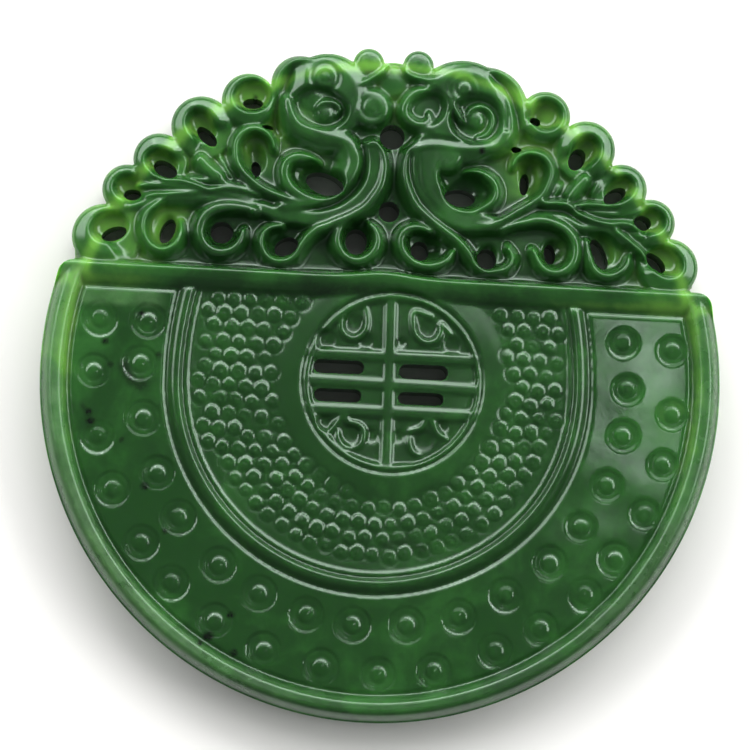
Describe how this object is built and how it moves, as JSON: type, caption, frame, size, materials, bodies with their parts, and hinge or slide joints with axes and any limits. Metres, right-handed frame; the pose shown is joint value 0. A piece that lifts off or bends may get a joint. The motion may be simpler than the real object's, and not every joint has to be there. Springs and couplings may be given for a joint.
{
  "type": "jade pendant",
  "caption": "Round carved jade pendant with a raised rim, drilled bosses, a pierced lattice medallion and an openwork crest of curls.",
  "frame": {"origin": "On the flat back, under the middle of the whole piece", "axes": "+Z out of the carved face, which lies upwards; +Y towards the pierced crest; +X to the right of the carved face"},
  "size_m": [0.062, 0.0616, 0.0056],
  "materials": {
    "jade": "polished green nephrite, cloudy, with black specks"
  },
  "bodies": {
    "root": {"jade_pendant": "jade"}
  },
  "joints": []
}
